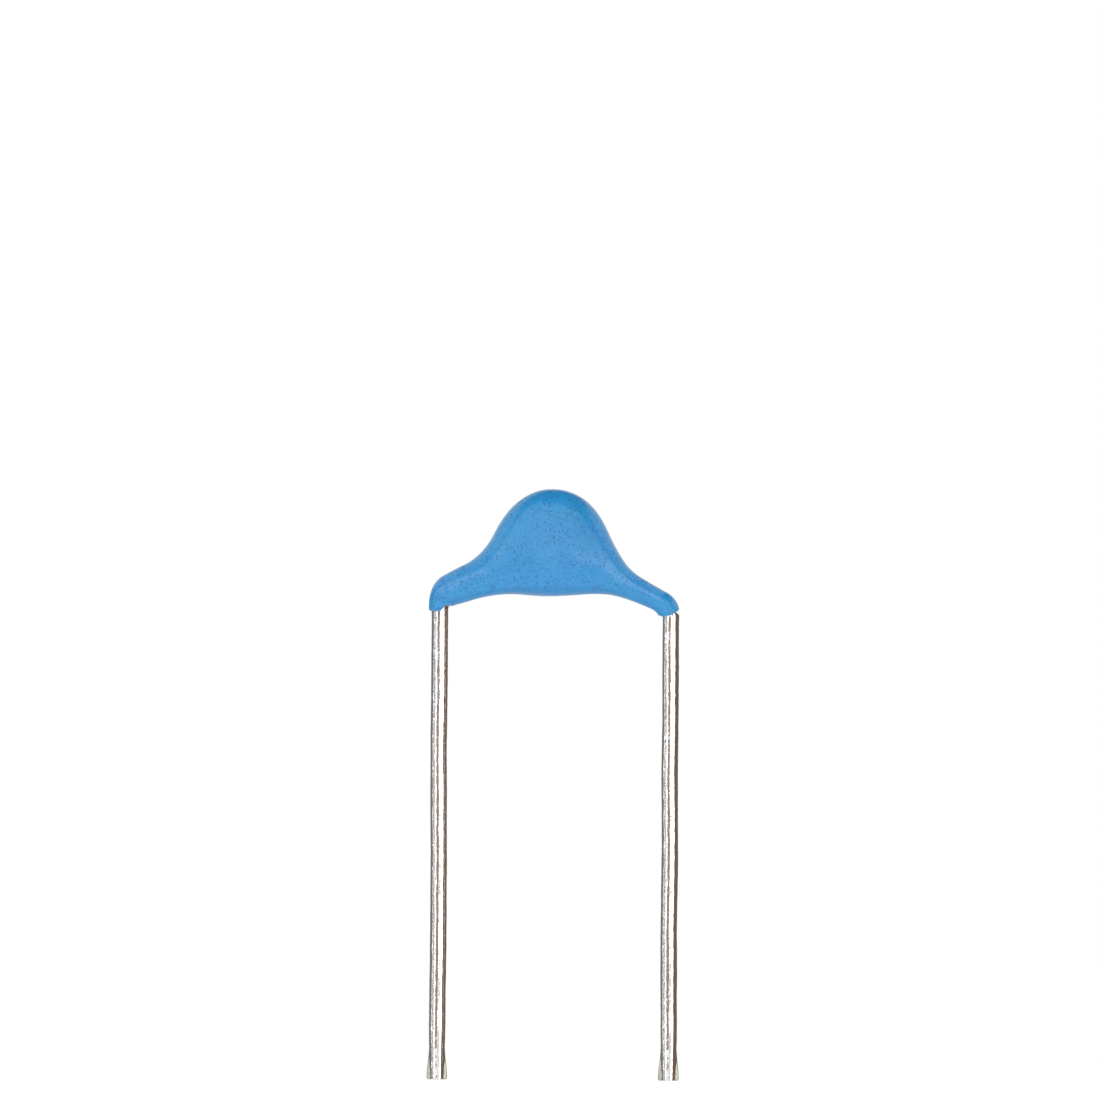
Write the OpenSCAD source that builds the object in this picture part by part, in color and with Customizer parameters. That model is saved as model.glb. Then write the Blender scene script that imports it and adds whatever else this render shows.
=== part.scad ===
// Ceramic disc capacitor: a small disc of ceramic with a silvered electrode on each face, a tinned
// wire soldered across each electrode, and the whole dipped in blue epoxy.
//
// Frame: millimetres, +Z up, +X across the two leads, the front face of the disc towards -Y.
// The origin is on the top face of the circuit board, midway between the two leads. The leads go
// straight down through the board along -Z, and start to bend just above it.

/* [Ceramic disc] */
// Diameter of the bare ceramic disc
disc_d = 2.8; // [2.4:0.1:3.0]
// Thickness of the bare ceramic disc
disc_t = 0.6; // [0.4:0.05:0.8]
// Height of the disc's centre above the circuit board
disc_height = 2.75; // [2.6:0.01:3.1]
// Sideways shift of the disc's centre from midway between the leads
disc_shift = -0.12; // [-0.3:0.02:0.3]

/* [Electrodes and solder] */
// Diameter of the silver layer on each face of the disc
electrode_d = 2.5; // [2.0:0.05:2.7]
// Thickness of each silver layer
electrode_t = 0.05; // [0.03:0.01:0.1]
// Film of solder between a silver layer and its lead
solder_film = 0.02; // [0.01:0.01:0.05]
// Radius of the hollow fillet of solder on each side of a lead
solder_fillet = 0.2; // [0.15:0.05:0.25]
// Diameter of the round patch of solder that holds a lead
solder_d = 1.5; // [1.2:0.05:1.8]
// Distance from a lead's inner end back to the middle of its solder patch
solder_back = 0.45; // [0.3:0.05:0.6]

/* [Leads] */
// Distance between the centre lines of the two leads
lead_pitch = 7.5; // [7.0:0.1:9.0]
// Diameter of the tinned wire
lead_d = 0.55; // [0.45:0.05:0.6]
// Length of each lead below the circuit board's top face
lead_length = 14.79; // [4:0.01:30]
// Radius of the bends, to the centre line of the wire
bend_r = 0.5; // [0.45:0.05:0.65]
// Height above the board of the left lead's lower corner, where its leg meets its straight pin
left_corner_z = 0.82; // [0.7:0.01:0.95]
// Height above the board of the right lead's lower corner
right_corner_z = 0.58; // [0.5:0.01:0.8]
// Distance from the disc's edge out to the corner where a lead turns along the disc's face
face_corner_gap = 0.5; // [0.4:0.05:0.7]
// Distance that each lead runs past the disc's centre
lead_past = 0.35; // [0.2:0.05:0.5]
// Depth of the left lead's inner end below the disc's centre
left_drop = 0.48; // [0.2:0.02:0.6]
// Depth of the right lead's inner end below the disc's centre
right_drop = 0.3; // [0.1:0.05:0.5]

/* [Cut ends of the leads] */
// Diameter that the wire narrows to at its cut end
tip_d = 0.46; // [0.4:0.02:0.54]
// Width across the two thin fins that the cutter squeezes out of each lead's tip
fin_w = 0.7; // [0.62:0.02:0.8]
// Thickness of the fins
fin_t = 0.14; // [0.1:0.02:0.2]
// Length of the narrowed and finned stretch
tip_length = 1.4; // [0.8:0.1:2.0]
// Radius of the fins' lower corners
fin_round = 0.08; // [0.04:0.01:0.1]

/* [Coating] */
// Thickness of the coating over the disc's edge
edge_coat = 0.25; // [0.15:0.01:0.4]
// Thickness of the coating over the leads on the disc's faces
face_coat = 0.18; // [0.12:0.01:0.3]
// Radius of the rounding between the disc's faces and its rim
rim_round = 0.8; // [0.6:0.05:1.0]
// Thickness that the coating builds up to on the left leg
left_leg_coat = 0.58; // [0.4:0.01:0.65]
// Thickness that the coating builds up to on the right leg
right_leg_coat = 0.33; // [0.2:0.01:0.5]
// Thickness of the coating where it ends on the left lead
left_end_coat = 0.07; // [0.03:0.01:0.12]
// Thickness of the coating where it ends on the right lead
right_end_coat = 0.03; // [0.03:0.01:0.12]
// Height above the board at which the coating on a leg is at its thickest
build_up_z = 2.48; // [2.0:0.02:2.8]
// Reach of the hollow fillets where the coating on the legs runs into the disc
web_blend = 1.4; // [1.0:0.05:1.6]
// Depth of the web that fills in behind a leg, in shares of how far the leg stands out
web_depth = 1.85; // [1:0.05:2]
// Length of bare wire between the board and the coating's edge, outside the left lead
left_bare = 0.4; // [0.1:0.02:0.46]
// Extra length of bare wire inside the left lead
left_bare_rise = 0.28; // [0:0.02:0.44]
// Length of bare wire between the board and the coating's edge, inside the right lead
right_bare = 0.25; // [0.11:0.02:0.35]
// Extra length of bare wire outside the right lead
right_bare_rise = 0.14; // [0:0.02:0.3]

/* [Hidden] */
$fn = 64;

// The left lead lies on the disc's front face, the right lead on its rear face.
LEFT = -1;
RIGHT = 1;

lead_r = lead_d / 2;
disc_r = disc_d / 2;
disc_centre = [disc_shift, 0, disc_height];
electrode_face_y = disc_t / 2 + electrode_t;
lead_face_y = electrode_face_y + solder_film + lead_r;
body_r = disc_r + edge_coat;
body_half_t = lead_face_y + lead_r + face_coat;

// A bend or a tip is fatter than the straight wire by seam_step, and the wire runs into it by
// seam_lap, so that the stretches of a lead join as one solid. Solder runs as far into the wire.
seam_step = 0.002;
seam_lap = 0.02;

// Rings along each stretch of the coating, points round each ring, and steps to settle a point.
edge_rings = 15;
leg_rings = 9;
crown_rings = 28;
ring_points = 40;
settle_steps = 9;

// Share of the left lead's inner half over which the coating's edge climbs.
bare_turn = 0.8;

// ---- centre lines of the leads ----

function unit(v) = v / norm(v);

function corner_z(side) = side == LEFT ? left_corner_z : right_corner_z;
function foot_x(side) = side * lead_pitch / 2;
function end_x(side) = disc_shift - side * lead_past;
function end_z(side) = disc_height - (side == LEFT ? left_drop : right_drop);
function leg_slope(side) =
    (end_z(side) - corner_z(side)) / abs(foot_x(side) - end_x(side));

// Point of a leg at a given x, the leg being straight in the front view.
function leg_point(side, x, y) =
    [x, y, corner_z(side) + leg_slope(side) * abs(foot_x(side) - x)];

function foot_corner(side) = leg_point(side, foot_x(side), 0);
function face_corner(side) =
    leg_point(side, disc_shift + side * (disc_r + face_corner_gap), side * lead_face_y);
function inner_end(side) = leg_point(side, end_x(side), side * lead_face_y);

// A bend of the wire: [centre, direction out to its start, direction of travel, axis, angle,
// distance from the corner to the bend's ends].
function bend(before, corner, after) =
    let (d_in = unit(corner - before),
         d_out = unit(after - corner),
         angle = acos(d_in * d_out),
         setback = bend_r * tan(angle / 2),
         axis = unit(cross(d_in, d_out)),
         outward = -cross(axis, d_in))
    [corner - d_in * setback - outward * bend_r, outward, d_in, axis, angle, setback];

function foot_bend(side) =
    let (corner = foot_corner(side))
    bend(corner - [0, 0, 1], corner, face_corner(side));
function face_bend(side) = bend(foot_corner(side), face_corner(side), inner_end(side));

function bend_point(b, angle) = b[0] + bend_r * (b[1] * cos(angle) + b[2] * sin(angle));
function pin_top_z(side) = corner_z(side) - foot_bend(side)[5];

// ---- the form of the coating ----
// Its skin is where one smooth distance comes to nought: that to a round-edged disc, run
// together by hollow fillets with those to the two coated wires, and rounded off at the faces.

function smooth_step(x) =
    let (t = min(max(x, 0), 1))
    t * t * (3 - 2 * t);

// Lesser of two distances, with a hollow fillet where they are alike.
function run_together(a, b, blend) =
    let (h = min(max((b - a) / blend / 2 + 0.5, 0), 1))
    b + (a - b) * h - blend * h * (1 - h);

// Greater of two distances, with a rounded edge where they are alike.
function round_off(a, b, blend) = -run_together(-a, -b, blend);

function to_rod(p, a, b) =
    let (along = b - a,
         t = min(max((p - a) * along / (along * along), 0), 1))
    norm(p - a - along * t);

// Distance to the flat web that runs from a stretch of a lead, between a and b, towards the
// disc's other face. Its depth is nought where the leg leaves its foot bend.
function to_web(p, w, a, b) =
    let (side = w[8],
         along = [b.x - a.x, b.z - a.z],
         from_a = [p.x - a.x, p.z - a.z],
         t = min(max(from_a * along / (along * along), 0), 1),
         off = from_a - along * t,
         wire_y = side * (a.y + (b.y - a.y) * t),
         back_y = wire_y - web_depth * (wire_y - side * w[3].y),
         y = side * p.y)
    norm([off.x, off.y, max(y - wire_y, back_y - y, 0)]);

function to_bend(p, b) =
    let (v = p - b[0],
         x = v * b[1],
         y = v * b[2],
         angle = min(max(atan2(y, x), 0), b[4]))
    norm([x - bend_r * cos(angle), y - bend_r * sin(angle), v * b[3]]);

function to_disc(p) =
    let (out = norm([p.x - disc_shift, p.z - disc_height]) - (body_r - rim_round),
         up = abs(p.y) - (body_half_t - rim_round))
    norm([max(out, 0), max(up, 0)]) + min(max(out, up), 0) - rim_round;

// What the coating needs of one lead: its bend, its points, its two thicknesses and its side.
function coated_lead(side) =
    let (b = foot_bend(side),
         foot = foot_corner(side))
    [b, [foot.x, 0, -lead_length], [foot.x, 0, pin_top_z(side)], bend_point(b, b[4]),
     face_corner(side), inner_end(side),
     side == LEFT ? left_end_coat : right_end_coat,
     side == LEFT ? left_leg_coat : right_leg_coat, side];

function to_coated_lead(p, w) =
    min(to_rod(p, w[1], w[2]), to_bend(p, w[0]),
        to_web(p, w, w[3], w[4]), to_web(p, w, w[4], w[5]))
    - lead_r - w[6] - (w[7] - w[6]) * smooth_step((p.z - right_bare) / (build_up_z - right_bare));

LEADS = [coated_lead(LEFT), coated_lead(RIGHT)];

function to_skin(p) =
    let (body = run_together(to_disc(p), to_coated_lead(p, LEADS[0]), web_blend),
         whole = run_together(body, to_coated_lead(p, LEADS[1]), web_blend))
    round_off(whole, abs(p.y) - body_half_t, rim_round);

// Distance from a point inside the coating to its skin along a direction.
function reach(p, d, t = 0, steps = settle_steps) =
    steps == 0 ? t : reach(p, d, t - to_skin(p + d * t), steps - 1);

function skin_point(p, d) = p + d * reach(p, d);

// Direction at an angle round the coating: 0 is away from the leads' gap, 90 is to the rear.
function fan(outward, angle) = outward * cos(angle) + [0, 1, 0] * sin(angle);

// Length of bare wire, from the board up, at an angle round the lead.
function bare_length(side, angle) =
    side == LEFT
    ? left_bare + left_bare_rise * smooth_step(-cos(angle) / bare_turn)
    : right_bare + right_bare_rise * (1 + cos(angle)) / 2;

// Ring round a lead between the coating's edge (share 0) and the end of its foot bend (share 1).
function edge_ring(side, share) =
    let (b = foot_bend(side),
         pin = pin_top_z(side),
         whole = pin + bend_r * b[4] * PI / 180)
    [for (i = [0 : ring_points - 1])
        let (angle = 360 * i / ring_points,
             start = bare_length(side, angle),
             s = start + (whole - start) * share,
             turned = max(s - pin, 0) / bend_r * 180 / PI,
             on_wire = s < pin ? [foot_x(side), 0, s] : bend_point(b, turned),
             outward = unit([side * cos(turned), 0, sin(turned)]))
        skin_point(on_wire, fan(outward, angle))];

function plain_ring(p, outward) =
    [for (i = [0 : ring_points - 1]) skin_point(p, fan(outward, 360 * i / ring_points))];

// Direction square to a leg in the front view, upwards.
function leg_outward(side) = unit([side * leg_slope(side), 0, 1]);

function leg_ring(side, share) =
    let (b = foot_bend(side),
         foot = bend_point(b, b[4]),
         turned = unit([side * cos(b[4]), 0, sin(b[4])]))
    plain_ring(foot + (face_corner(side) - foot) * share,
               unit(turned * (1 - smooth_step(2 * share)) + leg_outward(side) * smooth_step(2 * share)));

// The crown runs from one leg to the other over the disc, on a curve drawn to the point where
// the two legs would meet.
function crown_ring(share) =
    let (a = face_corner(LEFT),
         b = face_corner(RIGHT),
         x = (b.z - a.z + leg_slope(RIGHT) * b.x + leg_slope(LEFT) * a.x)
             / (leg_slope(LEFT) + leg_slope(RIGHT)),
         peak = [x, 0, a.z + leg_slope(LEFT) * (x - a.x)],
         p = a * pow(1 - share, 2) + peak * 2 * share * (1 - share) + b * pow(share, 2),
         travel = (peak - a) * (1 - share) + (b - peak) * share)
    plain_ring(p, unit([-travel.z, 0, travel.x]));

function coating_rings() =
    concat([for (i = [0 : edge_rings - 1]) edge_ring(LEFT, i / edge_rings)],
           [for (i = [0 : leg_rings - 1]) leg_ring(LEFT, i / leg_rings)],
           [for (i = [0 : crown_rings]) crown_ring(i / crown_rings)],
           [for (i = [leg_rings - 1 : -1 : 0]) leg_ring(RIGHT, i / leg_rings)],
           [for (i = [edge_rings - 1 : -1 : 0]) edge_ring(RIGHT, i / edge_rings)]);

// A closed skin over rings of points, with a fan of triangles to a point at each end.
module lofted(rings, first, last) {
    n = ring_points;
    m = len(rings);
    points = concat([for (ring = rings) each ring], [first, last]);
    walls = [for (j = [0 : m - 2], i = [0 : n - 1])
        let (k = (i + 1) % n)
        each [[j * n + i, j * n + k, j * n + n + k], [j * n + i, j * n + n + k, j * n + n + i]]];
    ends = [for (i = [0 : n - 1])
        let (k = (i + 1) % n)
        each [[m * n, k, i], [m * n + 1, (m - 1) * n + i, (m - 1) * n + k]]];
    polyhedron(points, concat(walls, ends));
}

// ---- sub-parts ----

// Straight stretch of wire, run into the stretches at its ends.
module rod(a, b, lap_b = seam_lap) {
    travel = unit(b - a);
    translate(a - travel * seam_lap)
        rotate([0, acos(travel.z), atan2(travel.y, travel.x)])
            cylinder(h = norm(b - a) + seam_lap + lap_b, r = lead_r);
}

module bent_rod(b) {
    m = [for (i = [0 : 2]) [b[1][i], b[2][i], b[3][i], b[0][i]]];
    multmatrix(m)
        rotate_extrude(angle = b[4])
            translate([bend_r, 0])
                circle(r = lead_r + seam_step);
}

// The cut tip: the wire narrows, with a thin fin squeezed out of it on each side.
module cut_tip() {
    steps = 6;
    start_x = lead_r - seam_lap;
    half_outline = concat(
        [for (a = [-90 : 30 : 0]) [fin_w / 2 - fin_round, fin_round] + fin_round * [cos(a), sin(a)]],
        [for (i = [1 : steps])
            [start_x + (fin_w / 2 - start_x) * smooth_step(1 - i / steps),
             fin_round + (tip_length - fin_round) * i / steps]]);
    cylinder(h = tip_length, r1 = tip_d / 2, r2 = lead_r + seam_step);
    translate([0, 0, seam_lap])
        rotate([90, 0, 0])
            linear_extrude(height = fin_t, center = true)
                for (turn = [0, 1])
                    mirror([turn, 0])
                        polygon(concat([[0, 0]], half_outline, [[0, tip_length]]));
}

module lead(side) {
    foot = foot_bend(side);
    face = face_bend(side);
    translate([foot_x(side), 0, -lead_length]) cut_tip();
    rod([foot_x(side), 0, tip_length - lead_length], [foot_x(side), 0, pin_top_z(side)]);
    bent_rod(foot);
    rod(bend_point(foot, foot[4]), bend_point(face, 0));
    bent_rod(face);
    rod(bend_point(face, face[4]), inner_end(side), lap_b = 0);
}

module left_lead() {
    color("silver") lead(LEFT);
}

module right_lead() {
    color("silver") lead(RIGHT);
}

// A disc centred on the ceramic one, between two depths from its middle plane.
module round_layer(d, from_y, to_y) {
    translate([disc_centre.x, to_y, disc_centre.z])
        rotate([90, 0, 0])
            cylinder(h = to_y - from_y, d = d);
}

module ceramic_disc() {
    color("tan") round_layer(disc_d, -disc_t / 2, disc_t / 2);
}

module front_electrode() {
    color("gainsboro") round_layer(electrode_d, -electrode_face_y, -disc_t / 2);
}

module rear_electrode() {
    color("gainsboro") round_layer(electrode_d, disc_t / 2, electrode_face_y);
}

// Solder as if the lead weren't there: hollow fillets that run a little way into the wire, within
// a round patch, which starts at the silver layer or a depth below it.
module solder_patch(side, depth = 0) {
    wire_h = solder_film + lead_r;
    apart = solder_fillet + lead_r - seam_lap;
    fillet_x = sqrt(pow(apart, 2) - pow(wire_h - solder_fillet, 2));
    top = wire_h + (solder_fillet - wire_h) * (lead_r - seam_lap / 2) / apart;
    end = inner_end(side);
    middle = end + unit(face_corner(side) - end) * solder_back;
    leg_angle = atan(leg_slope(side));
    translate([middle.x, side * electrode_face_y, middle.z])
        rotate([0, side * leg_angle, 0])
            rotate([-side * 90, 0, 0])
                intersection() {
                    translate([0, 0, -depth]) cylinder(h = top + depth, d = solder_d);
                    rotate([90, 0, 90])
                        linear_extrude(height = solder_d, center = true)
                            difference() {
                                translate([-fillet_x, -depth]) square([2 * fillet_x, top + depth]);
                                for (x = [-fillet_x, fillet_x])
                                    translate([x, solder_fillet]) circle(r = solder_fillet);
                            }
                }
}

module solder(side) {
    difference() {
        solder_patch(side);
        lead(side);
    }
}

module front_solder() {
    color("lightgray") solder(LEFT);
}

module rear_solder() {
    color("lightgray") solder(RIGHT);
}

module coating() {
    color([0.33, 0.6, 0.86])
        difference() {
            lofted(coating_rings(),
                   [foot_x(LEFT), 0, left_bare + left_bare_rise / 4],
                   [foot_x(RIGHT), 0, right_bare + right_bare_rise / 2]);
            lead(LEFT);
            lead(RIGHT);
            round_layer(disc_d, -disc_t / 2, disc_t / 2);
            round_layer(electrode_d, -electrode_face_y, electrode_face_y);
            solder_patch(LEFT, depth = electrode_t / 2);
            solder_patch(RIGHT, depth = electrode_t / 2);
        }
}

coating();
ceramic_disc();
front_electrode();
rear_electrode();
front_solder();
rear_solder();
left_lead();
right_lead();
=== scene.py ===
"""Ceramic disc capacitor, dressed round its fixed CAD frame.

The script makes the dipped epoxy coating, the two tinned leads, the finishes of the layers that
the coating seals in, and a plain studio. Lengths are in metres, in the frame of the CAD model:
+Z up from the circuit board's top face, +X from the left lead to the right one, the disc's front
face towards -Y.
"""

import bmesh
import bpy
import numpy as np
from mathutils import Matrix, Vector


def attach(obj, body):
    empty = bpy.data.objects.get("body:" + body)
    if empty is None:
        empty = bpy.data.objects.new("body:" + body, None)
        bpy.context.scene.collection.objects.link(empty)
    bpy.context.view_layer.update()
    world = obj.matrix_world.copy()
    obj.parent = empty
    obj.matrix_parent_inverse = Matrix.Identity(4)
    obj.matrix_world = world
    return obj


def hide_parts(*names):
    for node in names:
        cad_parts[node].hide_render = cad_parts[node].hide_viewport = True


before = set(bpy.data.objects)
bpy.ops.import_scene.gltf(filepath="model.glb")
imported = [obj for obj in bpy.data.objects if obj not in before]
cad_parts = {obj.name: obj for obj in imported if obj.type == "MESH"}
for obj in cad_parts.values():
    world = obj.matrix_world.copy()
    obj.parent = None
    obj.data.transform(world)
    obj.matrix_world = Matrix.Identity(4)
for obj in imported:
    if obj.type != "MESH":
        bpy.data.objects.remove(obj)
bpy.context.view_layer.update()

bl_info = {
    "name": "Ceramic Disc Capacitor",
    "version": (1, 0, 0),
    "blender": (4, 5, 0),
    "location": "3D View > Sidebar > Capacitor",
    "description": "Makes a dipped ceramic disc capacitor with its tinned leads and a studio",
    "category": "Object",
}

# The left lead lies on the disc's front face, the right lead on its rear face. The coating seals
# in their upper ends and five whole nodes.
LEFT = -1
RIGHT = 1
SEALED = ("ceramic_disc", "front_electrode", "rear_electrode", "front_solder", "rear_solder")
X_AXIS, Y_AXIS, Z_AXIS = np.eye(3)
MM = 0.001  # a millimetre in metres


# ---- sizes and colours ----


def length(name, default, description):
    """A length in metres as a property, from its size in millimetres."""
    return bpy.props.FloatProperty(
        name=name, description=description, default=default * MM, unit="LENGTH",
        precision=5,
    )


def colour(name, default, description):
    """A linear colour as a property."""
    return bpy.props.FloatVectorProperty(
        name=name, description=description, default=default, size=3, min=0, max=1,
        subtype="COLOR",
    )


def amount(name, default, description):
    """A plain number as a property."""
    return bpy.props.FloatProperty(name=name, description=description, default=default, min=0)


class CapacitorSizes(bpy.types.PropertyGroup):
    """Sizes of the capacitor, the same as the CAD model's."""

    disc_diameter: length("Disc diameter", 2.8, "Diameter of the bare ceramic disc")
    disc_thickness: length("Disc thickness", 0.6, "Thickness of the bare ceramic disc")
    disc_height: length("Disc height", 2.75, "Height of the disc's centre above the board")
    disc_shift: length("Disc shift", -0.12, "Sideways shift of the disc's centre")
    electrode_thickness: length("Electrode", 0.05, "Thickness of each silver layer")
    solder_film: length("Solder film", 0.02, "Solder between a silver layer and its lead")
    lead_pitch: length("Lead pitch", 7.5, "Distance between the centre lines of the leads")
    wire_diameter: length("Wire diameter", 0.55, "Diameter of the tinned wire")
    lead_length: length("Lead length", 14.79, "Length of each lead below the board's top face")
    bend_radius: length("Bend radius", 0.5, "Radius of the bends to the wire's centre line")
    left_corner: length("Left corner", 0.82, "Height of the left lead's lower corner")
    right_corner: length("Right corner", 0.58, "Height of the right lead's lower corner")
    face_corner_gap: length("Face corner", 0.5, "Distance from the disc out to the upper bend")
    lead_past: length("Lead past centre", 0.35, "Distance that a lead runs past the centre")
    left_drop: length("Left drop", 0.48, "Depth of the left lead's end below the centre")
    right_drop: length("Right drop", 0.3, "Depth of the right lead's end below the centre")
    tip_diameter: length("Tip diameter", 0.46, "Diameter that the wire narrows to at its end")
    fin_width: length("Fin width", 0.7, "Width across the two fins of each tip")
    fin_thickness: length("Fin thickness", 0.14, "Thickness of the fins")
    tip_length: length("Tip length", 1.4, "Length of the narrowed and finned stretch")
    fin_round: length("Fin rounding", 0.08, "Radius of the fins' lower corners")
    edge_coat: length("Edge coating", 0.25, "Coating over the disc's edge")
    face_coat: length("Face coating", 0.18, "Coating over the leads on the disc's faces")
    rim_round: length("Rim rounding", 0.8, "Rounding between the faces and the rim")
    left_leg_coat: length("Left leg coating", 0.58, "Thickest coating on the left leg")
    right_leg_coat: length("Right leg coating", 0.33, "Thickest coating on the right leg")
    left_end_coat: length("Left end coating", 0.07, "Coating where it ends on the left lead")
    right_end_coat: length("Right end coating", 0.03, "Coating where it ends on the right lead")
    build_up: length("Build-up height", 2.48, "Height at which a leg's coating is thickest")
    web_blend: length("Web blend", 1.4, "Reach of the fillets from the legs to the disc")
    left_knee: length("Left knee", 0.06, "Reach of the fillet inside the left foot bend")
    right_knee: length("Right knee", 0.44, "Reach of the fillet inside the right foot bend")
    web_depth: amount("Web depth", 1.85, "Depth of a leg's web, in shares of how far it stands out")
    left_bare: length("Left bare wire", 0.4, "Bare wire above the board, outside the left lead")
    left_bare_rise: length("Left edge rise", 0.28, "Extra bare wire inside the left lead")
    right_bare: length("Right bare wire", 0.25, "Bare wire above the board, inside the right lead")
    right_bare_rise: length("Right edge rise", 0.14, "Extra bare wire outside the right lead")
    lip: length("Coating lip", 0.05, "Length over which the coating's edge rounds to the wire")
    inner_lip: length("Inner lip", 0.3, "Extra length of the lip on the leads' inner sides")
    bare_turn: amount("Edge turn", 0.8, "Share of the left lead's inner half where the edge climbs")
    coat_ripple: length("Coating ripple", 0.006, "Height of the slow waves in the coating")
    wire_ripple: length("Wire ripple", 0.0022, "Height of the fine dents in the wire")
    wire_wander: length("Wire wander", 0.012, "Sideways wander of each lead over its length")


class CapacitorFinishes(bpy.types.PropertyGroup):
    """Colours of the capacitor's materials, as linear values."""

    epoxy: colour("Epoxy", (0.024, 0.36, 0.84), "Main colour of the epoxy")
    epoxy_cool: colour("Epoxy, greener", (0.018, 0.37, 0.80), "Greener patches of the epoxy")
    epoxy_pale: colour("Epoxy, paler", (0.07, 0.39, 0.88), "Paler violet flecks of the epoxy")
    speck: colour("Specks", (0.0, 0.175, 0.47), "Pinholes and dark grains in the epoxy")
    tin: colour("Tin", (0.96, 0.95, 0.93), "Tin plating of the wire")
    tin_dull: colour("Dull tin", (0.55, 0.52, 0.48), "Dull marks on the tin")
    # Painted reflection: the dull greenish grey on the fins of the tips.
    squeezed: colour("Squeezed tin", (0.43, 0.44, 0.34), "Dull tin on the fins of the tips")
    # Painted shade on the wire just below the coating's edge, in dark brown.
    painted_junction_shade: colour("Flux stain", (0.16, 0.12, 0.09), "Stain on the wire where the coating starts")
    ceramic: colour("Ceramic", (0.48, 0.33, 0.17), "Fired ceramic disc")
    silver: colour("Silver", (0.78, 0.78, 0.75), "Fired silver layers")
    solder: colour("Solder", (0.52, 0.52, 0.50), "Solder under the leads")


class CapacitorStudio(bpy.types.PropertyGroup):
    """Camera, lamps and surround."""

    lens: amount("Lens", 400, "Focal length of the camera in millimetres")
    camera_distance: length("Camera distance", 396.8, "Distance from the object to the camera")
    camera_x: length("Camera X", -0.19, "Sideways place of the camera")
    camera_z: length("Camera height", 2.416, "Height of the camera above the board")
    camera_roll: bpy.props.FloatProperty(
        name="Camera roll", description="Turn of the camera about its line of sight",
        default=np.radians(-0.35), subtype="ANGLE",
    )
    lamp_radiance: amount("Lamp radiance", 1.0, "Brightness of the face of each lamp")
    ambient: amount("Ambient", 1.61, "Brightness of the room on dull surfaces")
    ambient_drop: amount("Ambient drop", 0.68, "Slope down to the middle of the room's light")
    floor: colour("Floor", (0.88, 0.88, 0.88), "Floor")
    card_left: colour("Left card", (0.18, 0.18, 0.185), "Surround card on the left")
    card_top: colour("Top card", (0.01, 0.01, 0.01), "Surround card overhead")
    card_right: colour("Right card", (0.16, 0.11, 0.08), "Surround card on the right")
    card_slat: colour("Slats", (0.13, 0.13, 0.13), "Narrow cards in front of the left lamp")
    veil_low: colour("Low veil", (0.66, 0.66, 0.66), "Card below the middle of the right lamp")
    veil_high: colour("High veil", (0.4, 0.4, 0.4), "Card above the middle of the right lamp")
    card_below: colour("Card below", (0.6, 0.6, 0.61), "Card far below the floor, seen in gloss")
    card_gap: colour("Gap card", (0.32, 0.23, 0.20), "Card in the gap between the lamps")


# Edges of the dark cards round the object, in degrees. Each row is a direction round the Y axis,
# from +X over the top, and how far off the camera's direction the cards start and stop there.
SURROUND = (
    (-32, 64, 150), (6, 64, 150), (14, 64, 90), (19, 48, 72), (24, 32, 66),
    (30, 30, 66), (44, 34, 70), (58, 50, 130), (72, 40, 130), (98, 40, 125),
    (114, 62, 110), (136, 50, 60), (156, 52, 60), (172, 86, 150), (212, 86, 150),
)
# Radius of the barrel that they form, points round and along it, and the directions where the
# right card ends and the left one starts.
BARREL_RADIUS = 0.2
BARREL_POINTS = (182, 12)
BARREL_SPLITS = (9, 171)

# Lamps and upright cards stand on circles round the object. A span is in degrees seen from above,
# from the camera's direction towards +X.
LAMP_SPANS = {"lamp_right": (3, 62), "lamp_left": (-90, -34)}
LAMP_HEIGHT = 0.28
LAMP_DISTANCE = 0.33
CARD_RADIUS = 0.28
SLAT_MIDDLES = (-78, -70, -62, -54, -46)
SLAT_SPREAD = 21  # a slat's angle over half its width
SLAT_HEIGHTS = (-0.3, 0.008)
GAP_RADIUS = 0.45
GAP_SPAN = (-34, 3)
GAP_HEIGHTS = (-0.06, 0.012)
VEIL_SPAN = (4, 34)
VEIL_HEIGHTS = {"veil_low": (-0.14, -0.022), "veil_high": (0.022, 0.14)}

# A flat card below the floor: its edges in X and Y, and its height.
BELOW_X = (-0.12, 0.12)
BELOW_Y = (-0.02, 0.16)
BELOW_HEIGHT = -0.06

# The floor's width, the radii over which it turns white, how far it keeps its own shading within
# them, and the light added to what dull surfaces and other rays see of it.
FLOOR_WIDTH = 1.2
FLOOR_NEAR = (0.008, 0.03)
FLOOR_SHADED = 0.5
FLOOR_LIFT_DULL = (0.2, 0.2, 0.2)
FLOOR_LIFT_SEEN = (0.62, 0.62, 0.62)

# The room's light on dull surfaces: an even share, then a lobe's share and power.
ROOM_EVEN = 0.15
ROOM_FRONT = (0.85, 3.2)
ROOM_BACK = (0.12, 3.0)

# Rings of the coating on each lip, foot bend and leg, and over the disc, and points on a ring.
LIP_RINGS, EDGE_RINGS, LEG_RINGS, CROWN_RINGS = 9, 44, 34, 110
COATING_SIDES = 160

# Rings of a lead on its tip's edge, pin, foot bend, leg, face bend and rod, and points on a ring,
# which crowd where the fins stand.
TIP_RINGS, PIN_RINGS, FOOT_RINGS, WIRE_LEG_RINGS, FACE_RINGS, ROD_RINGS = 9, 380, 30, 50, 12, 40
WIRE_SIDES = 96
WIRE_CROWDING = 0.35


# ---- sums ----


def unit(v):
    """The vector or vectors over their own length."""
    return v / np.linalg.norm(v, axis=-1, keepdims=True)


def smooth_step(x):
    """3 t^2 - 2 t^3, where t is x held between 0 and 1."""
    t = np.clip(x, 0, 1)
    return t * t * (3 - 2 * t)


def round_end(height, radius):
    """Share of its full width that a round corner has at a height over its foot."""
    low = np.clip(1 - height / radius, 0, 1)
    return np.sqrt(1 - low**2)


LEAST_BLEND = 1e-9  # what run_together can still divide by


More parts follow.
